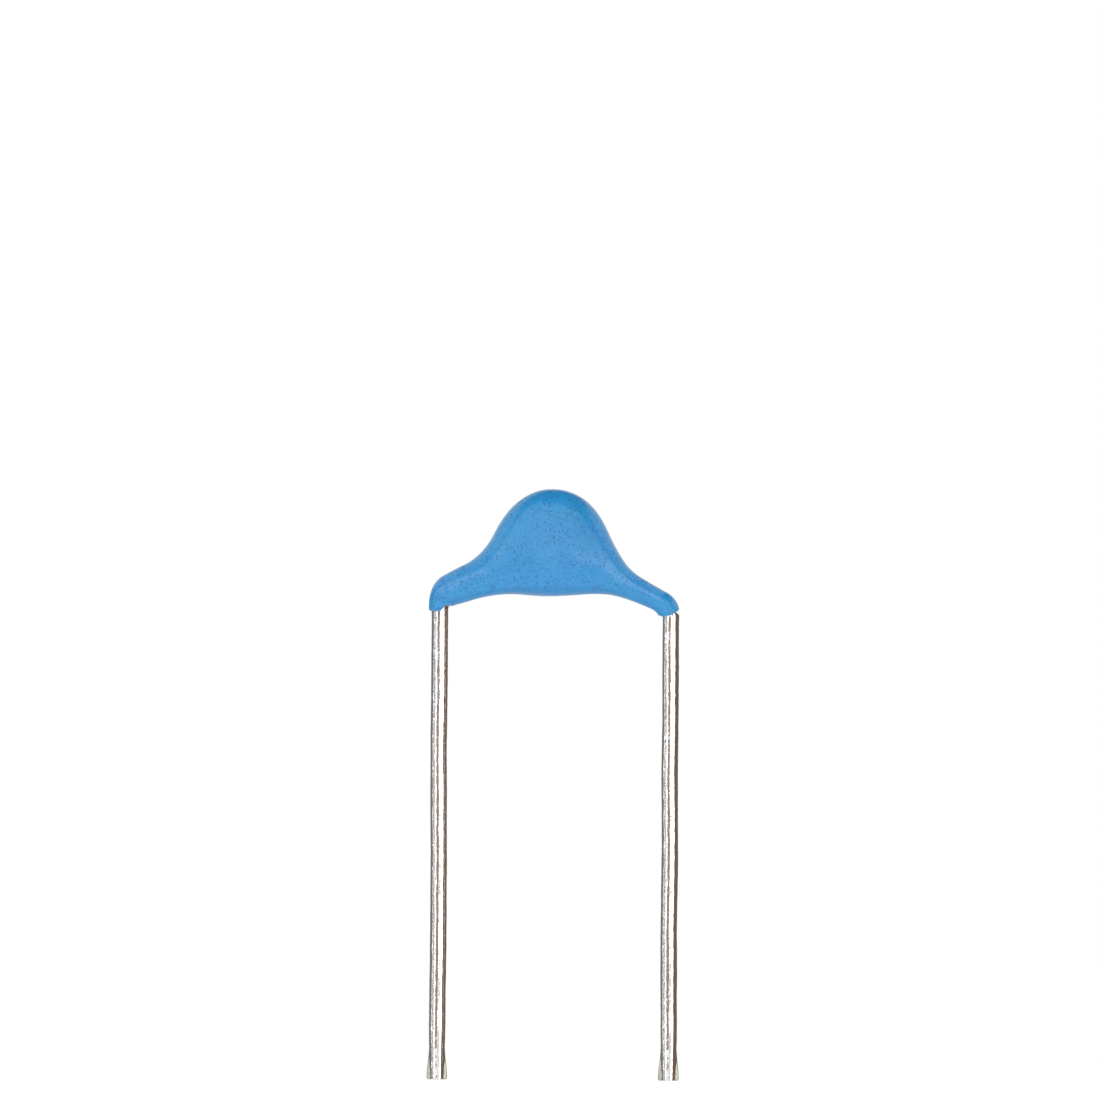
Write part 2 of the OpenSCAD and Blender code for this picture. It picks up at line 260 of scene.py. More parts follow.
def run_together(a, b, blend):
    """Lesser of two distances, less blend h (1 - h) where they are alike: a hollow fillet."""
    h = np.clip((b - a) / blend / 2 + 0.5, 0, 1)
    return b + (a - b) * h - blend * h * (1 - h)


def round_off(a, b, blend):
    """Greater of two distances, with a rounded edge where they are alike."""
    return -run_together(-a, -b, blend)


def turned(v, axis, angles):
    """One vector, or one for each angle, turned about a unit axis by Rodrigues' formula."""
    a = angles[:, None]
    along = (v @ axis)[..., None] * axis
    return along + (v - along) * np.cos(a) + np.cross(axis, v) * np.sin(a)


def waves(coordinates, wavelengths, count, seed):
    """Sum of cosines of coordinates along random directions, each as high as its wavelength's
    share of the longest, scaled to a root mean square of 1."""
    rng = np.random.default_rng(seed)
    short, long = wavelengths
    size = short * (long / short) ** rng.random(count)
    direction = unit(rng.normal(size=(count, coordinates.shape[-1])))
    phase = rng.random(count) * 2 * np.pi
    height = size / long
    total = sum(
        height[i] * np.cos(coordinates @ direction[i] * 2 * np.pi / size[i] + phase[i])
        for i in range(count)
    )
    return total / np.sqrt((height**2).sum() / 2)


# ---- centre lines of the leads ----


class Bend:
    """Arc that joins two straight stretches of wire."""

    def __init__(self, before, corner, after, radius):
        self.radius = radius
        self.inward = unit(corner - before)
        out = unit(after - corner)
        self.angle = np.arccos(self.inward @ out)
        self.setback = radius * np.tan(self.angle / 2)
        self.axis = unit(np.cross(self.inward, out))
        self.outward = -np.cross(self.axis, self.inward)
        self.centre = corner - self.inward * self.setback - self.outward * radius

    def point(self, angle):
        """Centre + radius (outward cos + inward sin)."""
        a = np.asarray(angle)[..., None]
        return self.centre + self.radius * (self.outward * np.cos(a) + self.inward * np.sin(a))


class Lead:
    """Centre line of a lead: pin, foot bend, leg, face bend and a rod over the disc's face."""

    def __init__(self, sizes, side):
        self.side = side
        self.radius = sizes.wire_diameter / 2
        self.bottom = -sizes.lead_length
        self.foot_x = side * sizes.lead_pitch / 2
        stack = sizes.disc_thickness / 2 + sizes.electrode_thickness + sizes.solder_film
        face_y = side * (stack + self.radius)
        name = "left_" if side == LEFT else "right_"
        corner_z, drop, self.end_coat, self.leg_coat, self.knee = (
            getattr(sizes, name + size)
            for size in ("corner", "drop", "end_coat", "leg_coat", "knee")
        )
        end_x = sizes.disc_shift - side * sizes.lead_past
        end_z = sizes.disc_height - drop
        self.slope = (end_z - corner_z) / abs(self.foot_x - end_x)

        def leg_point(x, y):
            return np.array([x, y, corner_z + self.slope * abs(self.foot_x - x)])

        self.foot_corner = leg_point(self.foot_x, 0)
        reach = sizes.disc_diameter / 2 + sizes.face_corner_gap
        self.face_corner = leg_point(sizes.disc_shift + side * reach, face_y)
        self.end = leg_point(end_x, face_y)
        radius = sizes.bend_radius
        self.foot = Bend(self.foot_corner - Z_AXIS, self.foot_corner, self.face_corner, radius)
        self.face = Bend(self.foot_corner, self.face_corner, self.end, radius)
        self.pin_top = corner_z - self.foot.setback

    def outward(self):
        """Direction square to the leg in the front view, upwards."""
        return unit(np.array([self.side * self.slope, 0, 1]))


def to_rod(p, a, b):
    """Distance from points p to the line from a to b."""
    along = b - a
    t = np.clip((p - a) @ along / (along @ along), 0, 1)
    return np.linalg.norm(p - a - t[..., None] * along, axis=-1)


def to_web(p, lead, a, b, depth):
    """Distance from points p to the flat web that runs from the line a to b towards the disc's
    other face. It is depth times as deep as the line stands out from the end of the foot bend."""
    foot_y = lead.foot.point(lead.foot.angle)[1]
    along = (b - a)[[0, 2]]
    from_a = p[..., [0, 2]] - a[[0, 2]]
    t = np.clip(from_a @ along / (along @ along), 0, 1)
    off = from_a - t[..., None] * along
    wire_y = lead.side * (a[1] + (b[1] - a[1]) * t)
    back_y = wire_y - depth * (wire_y - lead.side * foot_y)
    y = lead.side * p[..., 1]
    out = np.maximum(np.maximum(y - wire_y, back_y - y), 0)
    return np.sqrt((off**2).sum(-1) + out**2)


def to_bend(p, bend):
    """Distance from points p to a bend's arc."""
    v = p - bend.centre
    x, y = v @ bend.outward, v @ bend.inward
    a = np.clip(np.arctan2(y, x), 0, bend.angle)
    flat = x - bend.radius * np.cos(a), y - bend.radius * np.sin(a), v @ bend.axis
    return np.linalg.norm(np.stack(flat, -1), axis=-1)


# ---- the coating's form ----


class Skin:
    """Skin of the coating: where one smooth distance comes to nought. It is the distance to a
    round-edged disc, run together by hollow fillets with the distances to the two coated wires,
    and rounded off at the faces."""

    def __init__(self, sizes, leads):
        self.sizes = sizes
        self.leads = leads
        self.body_r = sizes.disc_diameter / 2 + sizes.edge_coat
        stack = sizes.disc_thickness / 2 + sizes.electrode_thickness + sizes.solder_film
        self.half_t = stack + sizes.wire_diameter + sizes.face_coat

    def to_disc(self, p):
        """Distance to a disc with rounded edges."""
        s = self.sizes
        radius = np.hypot(p[..., 0] - s.disc_shift, p[..., 2] - s.disc_height)
        out = radius - (self.body_r - s.rim_round)
        up = np.abs(p[..., 1]) - (self.half_t - s.rim_round)
        outside = np.hypot(np.maximum(out, 0), np.maximum(up, 0))
        return outside + np.minimum(np.maximum(out, up), 0) - s.rim_round

    def to_coated_lead(self, p, lead):
        """Distance to a wire with a coating that thickens with height, with a hollow fillet on
        the inner side of the foot bend."""
        s = self.sizes
        foot_end = lead.foot.point(lead.foot.angle)
        pin_top = np.array([lead.foot_x, 0, lead.pin_top])
        bottom = np.array([lead.foot_x, 0, lead.bottom])
        leg = np.minimum(
            to_web(p, lead, foot_end, lead.face_corner, s.web_depth),
            to_web(p, lead, lead.face_corner, lead.end, s.web_depth),
        )
        inward = unit(lead.foot.centre - lead.foot_corner)
        inside = smooth_step((p - lead.foot_corner) @ inward / lead.radius)
        knee = lead.knee * inside + LEAST_BLEND
        corner = run_together(leg, to_rod(p, bottom, pin_top), knee)
        nearest = np.minimum(corner, to_bend(p, lead.foot))
        grown = smooth_step((p[..., 2] - s.right_bare) / (s.build_up - s.right_bare))
        return nearest - lead.radius - lead.end_coat - (lead.leg_coat - lead.end_coat) * grown

    def distance(self, p):
        """The whole smooth distance."""
        s = self.sizes
        whole = self.to_disc(p)
        for lead in self.leads:
            whole = run_together(whole, self.to_coated_lead(p, lead), s.web_blend)
        return round_off(whole, np.abs(p[..., 1]) - self.half_t, s.rim_round)

    def reach(self, start, direction, steps=16):
        """Distance from points inside to the skin along directions, settled step by step."""
        t = np.zeros(start.shape[:-1])
        for _ in range(steps):
            t = t - self.distance(start + direction * t[..., None])
        return t

    def rings(self, centre, outward, angles):
        """Rings on the skin, each about a centre in the plane of its outward direction and Y."""
        direction = fan(outward[:, None], angles)
        centre = np.broadcast_to(centre[:, None], direction.shape)
        return centre + direction * self.reach(centre, direction)[..., None]


def fan(outward, angles):
    """Directions round a centre line: outward cos + Y sin."""
    return outward * np.cos(angles)[:, None] + Y_AXIS * np.sin(angles)[:, None]


def bare_length(sizes, side, angles):
    """Length of bare wire, from the board up, at angles round a lead."""
    if side == LEFT:
        climb = smooth_step(-np.cos(angles) / sizes.bare_turn)
        return sizes.left_bare + sizes.left_bare_rise * climb
    return sizes.right_bare + sizes.right_bare_rise * (1 + np.cos(angles)) / 2


def edge_rings(sizes, skin, lead, angles):
    """Rings from inside the wire, round the coating's lip and up to the end of the foot bend, at
    lengths s along the lead from the board. The lip is a quarter of a parabola from the wire out
    to the skin."""
    bare = bare_length(sizes, lead.side, angles)
    whole = lead.pin_top + lead.foot.radius * lead.foot.angle
    quarter = np.linspace(np.pi / 2, 0, LIP_RINGS, endpoint=False)[:, None]
    lip = sizes.lip + sizes.inner_lip * smooth_step(-np.cos(angles))
    lip_s = bare + lip * (1 - np.sin(quarter))
    share = np.linspace(0, 1, EDGE_RINGS, endpoint=False)[:, None]
    edge_s = bare + lip + (whole - bare - lip) * share
    s = np.concatenate([lip_s, edge_s])
    bent = np.maximum(s - lead.pin_top, 0) / lead.foot.radius
    on_pin = np.stack([np.full_like(s, lead.foot_x), np.zeros_like(s), s], -1)
    centre = np.where((s < lead.pin_top)[..., None], on_pin, lead.foot.point(bent))
    outward = np.stack([lead.side * np.cos(bent), np.zeros_like(s), np.sin(bent)], -1)
    direction = fan(outward, angles)
    reach = skin.reach(centre, direction)
    start = 0.93 * lead.radius  # a little inside the wire
    reach[:LIP_RINGS] = start + (reach[:LIP_RINGS] - start) * np.cos(quarter) ** 2
    rings = centre + direction * reach[..., None]
    core = np.array([0.25, 0.5, 0.75])[:, None, None]  # rings from the pole to the first
    first = rings[0]
    pole = first.mean(0)
    return np.concatenate([pole + (first - pole) * core, rings])


def leg_rings(skin, lead, angles):
    """Rings along a leg, from its foot bend to its upper corner."""
    share = np.linspace(0, 1, LEG_RINGS, endpoint=False)[:, None]
    foot_end = lead.foot.point(lead.foot.angle)
    centre = foot_end + (lead.face_corner - foot_end) * share
    low = np.array([lead.side * np.cos(lead.foot.angle), 0, np.sin(lead.foot.angle)])
    blend = smooth_step(2 * share)
    return skin.rings(centre, unit(low * (1 - blend) + lead.outward() * blend), angles)


def crown_rings(skin, leads, angles):
    """Rings from one leg to the other over the disc, on a curve drawn to the point where the
    two legs would meet: a (1 - t)^2 + 2 peak t (1 - t) + b t^2."""
    a, b = (lead.face_corner for lead in leads)
    left, right = (lead.slope for lead in leads)
    x = (b[2] - a[2] + right * b[0] + left * a[0]) / (left + right)
    peak = np.array([x, 0, a[2] + left * (x - a[0])])
    t = np.linspace(0, 1, CROWN_RINGS)[:, None]
    centre = a * (1 - t) ** 2 + peak * 2 * t * (1 - t) + b * t**2
    travel = (peak - a) * (1 - t) + (b - peak) * t
    outward = unit(np.stack([-travel[:, 2], 0 * travel[:, 2], travel[:, 0]], -1))
    return skin.rings(centre, outward, angles)


def coating_rings(sizes, leads):
    """All rings of the coating, from the left lead's foot over the disc to the right one's. The
    angles fall, so that they run anticlockwise seen from the right. The slow waves lie within
    the form and die out towards each end."""
    skin = Skin(sizes, leads)
    angles = np.linspace(2 * np.pi, 0, COATING_SIDES, endpoint=False)
    left, right = leads
    rings = np.concatenate([
        edge_rings(sizes, skin, left, angles),
        leg_rings(skin, left, angles),
        crown_rings(skin, leads, angles),
        leg_rings(skin, right, angles)[::-1],
        edge_rings(sizes, skin, right, angles)[::-1],
    ])
    around = np.roll(rings, -1, 1) - np.roll(rings, 1, 1)
    along = np.gradient(rings, axis=0)
    normal = unit(np.cross(around, along))
    height = waves(rings, (0.7 * MM, 2.4 * MM), count=26, seed=5)
    still, fading = 14, 12
    settled = smooth_step((np.arange(len(rings)) - still) / fading)
    settled = settled * settled[::-1]
    sunk = 1.2  # root mean squares that the waves' mean lies under the form
    return rings + normal * (sizes.coat_ripple * settled[:, None] * (height - sunk))[..., None]


# ---- the leads' form ----


def lead_path(sizes, lead):
    """Centres of a lead's rings, from its cut tip to its inner end, and the angles that the foot
    bend and the face bend turn each by."""
    corner = sizes.fin_round * (1 - np.cos(np.linspace(0, np.pi / 2, TIP_RINGS)))
    pin = np.linspace(lead.bottom + sizes.fin_round, lead.pin_top, PIN_RINGS)
    heights = np.concatenate([lead.bottom + corner[:-1], pin])
    straight = np.zeros((len(heights), 3)) + lead.foot_x * X_AXIS + heights[:, None] * Z_AXIS
    foot_turns = np.linspace(0, lead.foot.angle, FOOT_RINGS)[1:]
    face_turns = np.linspace(0, lead.face.angle, FACE_RINGS)
    leg = np.linspace(0, 1, WIRE_LEG_RINGS)[1:-1, None]
    leg_start, leg_end = lead.foot.point(lead.foot.angle), lead.face.point(0.0)
    rod = np.linspace(0, 1, ROD_RINGS)[1:, None]
    rod_start = lead.face.point(lead.face.angle)
    stretches = (
        (straight, 0, 0),
        (lead.foot.point(foot_turns), foot_turns, 0),
        (leg_start + (leg_end - leg_start) * leg, lead.foot.angle, 0),
        (lead.face.point(face_turns), lead.foot.angle, face_turns),
        (rod_start + (lead.end - rod_start) * rod, lead.foot.angle, lead.face.angle),
    )
    centre = np.concatenate([points for points, _, _ in stretches])
    by_foot, by_face = (
        np.concatenate([np.zeros(len(row[0])) + row[bend] for row in stretches])
        for bend in (1, 2)
    )
    return centre, by_foot, by_face


def wire_radius(sizes, lead, above, angles):
    """Radius at each angle of rings at heights above the cut tip, and how far the wire is
    pinched into a fin there, from 0 to 1, the share that carries the fins' painted reflection. At
    the tip the radius is the greater of the wire's and of a fin's, (|cos / a|^4 + |sin /
    b|^4)^(-1/4), and a fin starts hidden in the wire."""
    low = np.clip(1 - above / sizes.tip_length, 0, 1)
    hidden, blend, edge = 0.06 * MM, 0.04 * MM, 0.012 * MM
    core_round = 0.3 * sizes.fin_round
    core = lead.radius + (sizes.tip_diameter / 2 - lead.radius) * low
    core = core - core_round * (1 - round_end(above, core_round))
    start = lead.radius - hidden
    fin = start + (sizes.fin_width / 2 - sizes.wire_wander - start) * smooth_step(low)
    fin = fin - sizes.fin_round * (1 - round_end(above, sizes.fin_round))
    inside = (np.abs(np.cos(angles)) / fin[:, None]) ** 4
    inside = inside + (np.abs(np.sin(angles)) * 2 / sizes.fin_thickness) ** 4
    radius = round_off(core[:, None], inside ** (-1 / 4), blend)
    squeezed = smooth_step((radius - core[:, None]) / edge)
    near = low[:, None] > 0
    return np.where(near, radius, lead.radius), np.where(near, squeezed, 0)


def lead_rings(sizes, lead):
    """Rings along a lead, with each point's place in the straightened wire and how far it is
    pinched into a fin there, the share that carries the fins' painted reflection. A ring is centre
    + radius (e1 cos + e2 sin), and its frame e1, e2 turns with each bend. Outside the coating the
      wire wanders sideways and has fine dents."""
    even = np.linspace(0, 2 * np.pi, WIRE_SIDES, endpoint=False)
    angles = even - WIRE_CROWDING * np.sin(2 * even)
    centre, by_foot, by_face = lead_path(sizes, lead)
    frames = [
        turned(turned(axis, lead.foot.axis, by_foot), lead.face.axis, by_face)[:, None]
        for axis in (X_AXIS, Y_AXIS)
    ]
    radius, squeezed = wire_radius(sizes, lead, centre[:, 2] - lead.bottom, angles)
    along = np.concatenate([[0], np.cumsum(np.linalg.norm(np.diff(centre, axis=0), axis=1))])
    below = lead.pin_top - centre[:, 2]
    seed = 20 + lead.side
    across = [
        waves(along[:, None], (4 * MM, 16 * MM), count=5, seed=seed + step) for step in (4, 8)
    ]
    wander = smooth_step(below / (2 * MM))[:, None] * np.stack([*across, 0 * along], -1)
    centre = centre + wander * sizes.wire_wander / 2
    x, y = radius * np.cos(angles), radius * np.sin(angles)
    wire = np.stack([x, y, along[:, None] + 0 * x], -1)
    dents = waves(wire * [1, 1, 0.6], (0.25 * MM, 1.6 * MM), count=60, seed=seed)
    outside = smooth_step(below / (0.2 * MM))[:, None]
    grow = 1 + sizes.wire_ripple / lead.radius * dents * outside
    rings = centre[:, None] + frames[0] * (x * grow)[..., None]
    return rings + frames[1] * (y * grow)[..., None], wire, squeezed


# ---- meshes ----


def ring_faces(rings, points):
    """Walls between closed rings and a fan to a pole at each end, with faces outwards where the
    rings run anticlockwise seen from the far end."""
    i = np.arange(points)
    k = (i + 1) % points
    row = np.arange(rings - 1)[:, None] * points
    walls = np.stack([row + i, row + k, row + points + k, row + points + i], -1).reshape(-1, 4)
    pole, end = rings * points, (rings - 1) * points
    near = np.stack([0 * i + pole, k, i], -1)
    far = np.stack([0 * i + pole + 1, end + i, end + k], -1)
    return walls.tolist() + near.tolist() + far.tolist()


def with_poles(rings):
    """Points of all rings in a row, then the middles of the first and the last ring."""
    return np.concatenate([rings.reshape(-1, 3), [rings[0].mean(0), rings[-1].mean(0)]])


def linked(name, data):
    """A new object in the scene for a mesh, a lamp or a camera."""
    piece = bpy.data.objects.new(name, data)
    bpy.context.scene.collection.objects.link(piece)
    return piece


def closed_tube(name, rings):
    """Mesh object over rings of points, closed by a pole at each end."""
    mesh = bpy.data.meshes.new(name)
    mesh.from_pydata(with_poles(rings).tolist(), [], ring_faces(*rings.shape[:2]))
    mesh.validate()
    return linked(name, mesh)


def smoothed(piece, sharp):
    """Smooth shading, but for edges sharper than an angle in degrees."""
    mesh = piece.data
    mesh.polygons.foreach_set("use_smooth", np.ones(len(mesh.polygons), bool))
    mesh.set_sharp_from_angle(angle=np.radians(sharp))
    mesh.update()


def keep_largest_part(mesh):
    """Deletes all of a mesh but its largest part. Each vertex takes the lowest number among those
    that its edges join it to, until none changes."""
    ends = np.empty(2 * len(mesh.edges), np.int32)
    mesh.edges.foreach_get("vertices", ends)
    a, b = ends.reshape(-1, 2).T
    part = np.arange(len(mesh.vertices))
    before = part + 1
    while (part != before).any():
        before = part.copy()
        lowest = np.minimum(part[a], part[b])
        np.minimum.at(part, a, lowest)
        np.minimum.at(part, b, lowest)
        part = part[part]
    loose = np.flatnonzero(part != np.bincount(part).argmax())
    form = bmesh.new()
    form.from_mesh(mesh)
    form.verts.ensure_lookup_table()
    bmesh.ops.delete(form, geom=[form.verts[i] for i in loose], context="VERTS")
    form.to_mesh(mesh)
    form.free()


def hollowed(piece, cutters):
    """Cuts closed shapes out of a piece, through welded copies of them."""
    copies = [linked("cutter", cutter.data.copy()) for cutter in cutters]
    for copy in copies:
        copy.modifiers.new("weld", "WELD").merge_threshold = 1e-8
        cut = piece.modifiers.new("cavity", "BOOLEAN")
        cut.operation, cut.solver, cut.object = "DIFFERENCE", "MANIFOLD", copy
    depsgraph = bpy.context.evaluated_depsgraph_get()
    mesh = bpy.data.meshes.new_from_object(piece.evaluated_get(depsgraph), depsgraph=depsgraph)
    before = piece.data
    piece.modifiers.clear()
    piece.data = mesh
    bpy.data.meshes.remove(before)
    for copy in copies:
        bpy.data.meshes.remove(copy.data)
    keep_largest_part(mesh)


# ---- materials ----


class Value:
    """A node's output in an expression, where each operator adds a Math node."""

    def __init__(self, finish, socket):
        self.finish = finish
        self.socket = socket

    def _maths(self, operation, *terms):
        return self.finish.node("ShaderNodeMath", {"operation": operation}, dict(enumerate(terms)))

    def __add__(self, other):
        return self._maths("ADD", self, other)

    def __rsub__(self, other):
        return self._maths("SUBTRACT", other, self)

    def __mul__(self, other):
        return self._maths("MULTIPLY", self, other)

    def __pow__(self, other):
        return self._maths("POWER", self, other)

    __radd__ = __add__
    __rmul__ = __mul__

    def held(self):
        """The value held between 0 and 1."""
        return self._maths("MAXIMUM", self._maths("MINIMUM", self, 1.0), 0.0)

    def between(self, low, high):
        """0 at low and 1 at high, smoothly."""
        inputs = {"Value": self, "From Min": low, "From Max": high}
        settings = {"interpolation_type": "SMOOTHSTEP"}
        return self.finish.node("ShaderNodeMapRange", settings, inputs)


class Finish:
    """The nodes of a new material in the making, or of the world if one is given."""

    def __init__(self, name, world=None):
        self.owner = world or bpy.data.materials.new(name)
        self.owner.use_nodes = True
        self.tree = self.owner.node_tree
        self.tree.nodes.clear()

    def node(self, kind, settings=None, inputs=None, output=0):
        """Adds a node: its settings first, then its sockets' values or links."""
        node = self.tree.nodes.new(kind)
        for name, value in (settings or {}).items():
            setattr(node, name, value)
        for name, value in (inputs or {}).items():
            if isinstance(value, Value):
                self.tree.links.new(value.socket, node.inputs[name])
            else:
                node.inputs[name].default_value = value
        return Value(self, node.outputs[output]) if node.outputs else None

    def mix(self, factor, a, b):
        """Colour a where the factor is 0, and b where it is 1."""
        a, b = ((*c, 1) if not isinstance(c, Value) else c for c in (a, b))
        inputs = {0: factor, 6: a, 7: b}
        return self.node("ShaderNodeMix", {"data_type": "RGBA"}, inputs, output=2)

    def place(self, kind="Object"):
        """Object coordinates, or Generated ones, which are the direction in a world."""
        return self.node("ShaderNodeTexCoord", output=kind)

    def attribute(self, name, kind="Vector"):
        """An attribute of the mesh: a vector, or a number (Fac)."""
        return self.node("ShaderNodeAttribute", {"attribute_name": name}, output=kind)

    def stretched(self, place, share):
        """Coordinates that draw a texture out along Z, by 1 over a share."""
        return self.node("ShaderNodeMapping", {}, {"Vector": place, "Scale": (1, 1, share)})

    def noise(self, place, scale, detail, roughness):
        """Smooth noise from 0 to 1, of a number of waves for each metre."""
        inputs = {"Vector": place, "Scale": scale, "Detail": detail, "Roughness": roughness}
        return self.node("ShaderNodeTexNoise", {}, inputs)

    def grains(self, place, scale, share, size):
        """1 on soft round grains of a size, in their own spacing, over a share of the places
        where one could be."""
        inputs = {"Vector": place, "Scale": scale}
        away = self.node("ShaderNodeTexVoronoi", {}, inputs)
        tint = self.node("ShaderNodeTexVoronoi", {}, inputs, "Color")
        chance = self.node("ShaderNodeSeparateColor", {}, {"Color": tint}, "Red")
        return (1 - away.between(size / 3, size)) * (1 - chance.between(share - 0.02, share))

    def bump(self, *layers):
        """Normal of heights from 0 to 1, each with the distance that it stands for."""
        inputs = {"Strength": 1.0}
        for height, distance in layers:
            inputs.update(Height=height, Distance=distance)
            inputs["Normal"] = self.node("ShaderNodeBump", {}, inputs)
        return inputs["Normal"]

    def surface(self, **sockets):
        """Ends the material in a Principled BSDF with these sockets."""
        named = {name.replace("_", " "): value for name, value in sockets.items()}
        return self.ended(self.node("ShaderNodeBsdfPrincipled", {}, named))

    def ended(self, shader):
        """Ends the material in a shader."""
        self.node("ShaderNodeOutputMaterial", {}, {"Surface": shader})
        return self.owner

    def glow(self, tint):
        """Shader that shows one colour, whatever the light."""
        tint = tint if isinstance(tint, Value) else (*tint, 1)
        return self.node("ShaderNodeEmission", {}, {"Color": tint, "Strength": 1.0})

    def white_seen(self):
        """1 for camera, glossy and transmission rays, which see plain white."""
        kinds = ("Is Camera Ray", "Is Glossy Ray", "Is Transmission Ray")
        camera, glossy, through = (self.node("ShaderNodeLightPath", output=k) for k in kinds)
        return (camera + glossy + through).held()


def epoxy(finishes):
    """Dipped epoxy: blue, a little mottled, with pinholes, dark grains and a satin gloss."""
    f = Finish("blue_epoxy")
    place = f.place()
    patches = f.noise(place, 900, detail=3, roughness=0.55).between(0.38, 0.66)
    flecks = f.noise(place, 5200, detail=2, roughness=0.6).between(0.56, 0.74)
    clusters = f.noise(place, 1500, detail=2, roughness=0.6).between(0.3, 0.6)
    pinholes = f.grains(place, 11000, share=0.6, size=0.5) * (0.5 + clusters * 0.5)
    dust = f.grains(place, 18000, share=0.6, size=0.6) * clusters
    speck = (pinholes + dust * 0.7).held()
    base = f.mix(patches, finishes.epoxy, finishes.epoxy_cool)
    base = f.mix(flecks * 0.4, base, finishes.epoxy_pale)
    base = f.mix(speck * 0.85, base, finishes.speck)
    swell = f.noise(place, 1100, detail=1, roughness=0.4)
    peel = f.noise(place, 4200, detail=2, roughness=0.5)
    normal = f.bump((swell, 12e-6), (peel, 3e-6), (1 - speck, 1.2e-6))
    rough = f.noise(place, 2500, detail=2, roughness=0.6) * 0.1 + 0.2 + speck * 0.15
    return f.surface(
        Base_Color=base, Roughness=rough, Normal=normal, IOR=1.7, Sheen_Weight=0.3,
        Sheen_Roughness=0.4,
    )


def tinned_wire(finishes, bare_top):
    """Tin plating drawn along the wire: bright, with fine scratches, pits and dull marks; rougher
    and tinted with a painted reflection on the fins, and a painted shade just below the coating's
    edge."""
    f = Finish("tinned_wire")
    place = f.attribute("wire_place")
    drawn = f.noise(f.stretched(place, 0.08), 16000, detail=3, roughness=0.6)
    dents = f.noise(f.stretched(place, 0.4), 5000, detail=2, roughness=0.5)
    mottle = f.noise(f.stretched(place, 0.6), 14000, detail=1, roughness=0.5)
    pits = f.grains(f.stretched(place, 0.8), 13000, share=0.5, size=0.5)
    marks = f.noise(place, 2600, detail=3, roughness=0.6).between(0.42, 0.62)
    dull = pits * (0.3 + marks * 0.7)
    base = f.mix(dull * 0.5, finishes.tin, finishes.tin_dull)
    height = f.node("ShaderNodeSeparateXYZ", {}, {"Vector": place}, "Z")
    # Painted shade: the wire turns dark brown over the 0.35 mm just below the left lead's highest
    # bare point, where the wire meets the coating.
    junction_shade_share = height.between(bare_top - 0.35 * MM, bare_top)
    base = f.mix(junction_shade_share * 0.8, base, finishes.painted_junction_shade)
    normal = f.bump((dents, 9e-6), (mottle, 2.6e-6), (drawn, 0.8e-6), (1 - pits, 0.4e-6))
    # Painted reflection: the fins take a dull greenish grey. They are also rougher.
    squeezed = f.attribute("squeezed", "Fac")
    base = f.mix(squeezed * 0.85, base, finishes.squeezed)
    rough = drawn * 0.05 + dull * 0.2 + squeezed * 0.3 + 0.04
    return f.surface(Base_Color=base, Metallic=1.0, Roughness=rough, Normal=normal)


def fired_ceramic(finishes):
    """Fired ceramic: tan, grainy and matt."""
    f = Finish("fired_ceramic")
    place = f.place()
    grain = f.noise(place, 14000, detail=4, roughness=0.6)
    base = f.mix(grain, [0.8 * c for c in finishes.ceramic], [1.15 * c for c in finishes.ceramic])
    return f.surface(Base_Color=base, Roughness=grain * 0.2 + 0.6, Normal=f.bump((grain, 3e-6)))


def soft_metal(name, tint, roughness, scale, relief):
    """Fired silver or solder: metal with a fine uneven surface."""
    f = Finish(name)
    place = f.place()
    grain = f.noise(place, scale, detail=3, roughness=0.6)
    base = f.mix(grain, [0.85 * c for c in tint], tint)
    rough = grain * 0.2 + roughness
    return f.surface(Base_Color=base, Metallic=1.0, Roughness=rough, Normal=f.bump((grain, relief)))


# ---- the pieces ----


def both_leads(sizes):
    """Centre lines of the left and the right lead."""
    return [Lead(sizes, LEFT), Lead(sizes, RIGHT)]


class CAPACITOR_OT_leads(bpy.types.Operator):
    """Make the two tinned leads"""

    bl_idname = "capacitor.leads"
    bl_label = "Leads"

    def execute(self, context):
        sizes = context.scene.capacitor_sizes
        bare_top = sizes.lead_length + sizes.left_bare + sizes.left_bare_rise
        finish = tinned_wire(context.scene.capacitor_finishes, bare_top)
        for name, lead in zip(("left_lead", "right_lead"), both_leads(sizes)):
            rings, wire, squeezed = lead_rings(sizes, lead)
            piece = closed_tube(name + "_wire", rings)
            place = piece.data.attributes.new("wire_place", "FLOAT_VECTOR", "POINT")
            place.data.foreach_set("vector", with_poles(wire).astype(np.float32).ravel())
            share = piece.data.attributes.new("squeezed", "FLOAT", "POINT")
            share.data.foreach_set("value", np.append(squeezed, [0, 0]).astype(np.float32))
            smoothed(piece, sharp=50)
            piece.data.materials.append(finish)
            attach(piece, "root")
            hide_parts(name)
        return {"FINISHED"}


class CAPACITOR_OT_coating(bpy.types.Operator):
    """Make the dipped epoxy coating, hollowed for what it seals in"""

    bl_idname = "capacitor.coating"
    bl_label = "Coating"

    def execute(self, context):
        sizes = context.scene.capacitor_sizes
        piece = closed_tube("epoxy_coating", coating_rings(sizes, both_leads(sizes)))
        sealed = [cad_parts[name] for name in SEALED]
        wires = [bpy.data.objects[name] for name in ("left_lead_wire", "right_lead_wire")]
        hollowed(piece, wires + sealed)
        smoothed(piece, sharp=40)
        piece.data.materials.clear()
        piece.data.materials.append(epoxy(context.scene.capacitor_finishes))
        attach(piece, "root")
        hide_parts("coating")
        return {"FINISHED"}


class CAPACITOR_OT_layers(bpy.types.Operator):
    """Finish the ceramic disc, its silver layers and the solder"""

    bl_idname = "capacitor.layers"
    bl_label = "Sealed layers"

    def execute(self, context):
        finishes = context.scene.capacitor_finishes
        silver = soft_metal("silver_layer", finishes.silver, 0.35, 12000, 1.5e-6)
        solder = soft_metal("solder", finishes.solder, 0.25, 5000, 4e-6)
        looks = (fired_ceramic(finishes), silver, silver, solder, solder)
        for name, look in zip(SEALED, looks):
            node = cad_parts[name]
            if not node.material_slots:
                raise RuntimeError(name + " has no material slot")
            for slot in node.material_slots:
                slot.material = look
        return {"FINISHED"}


# ---- the studio ----


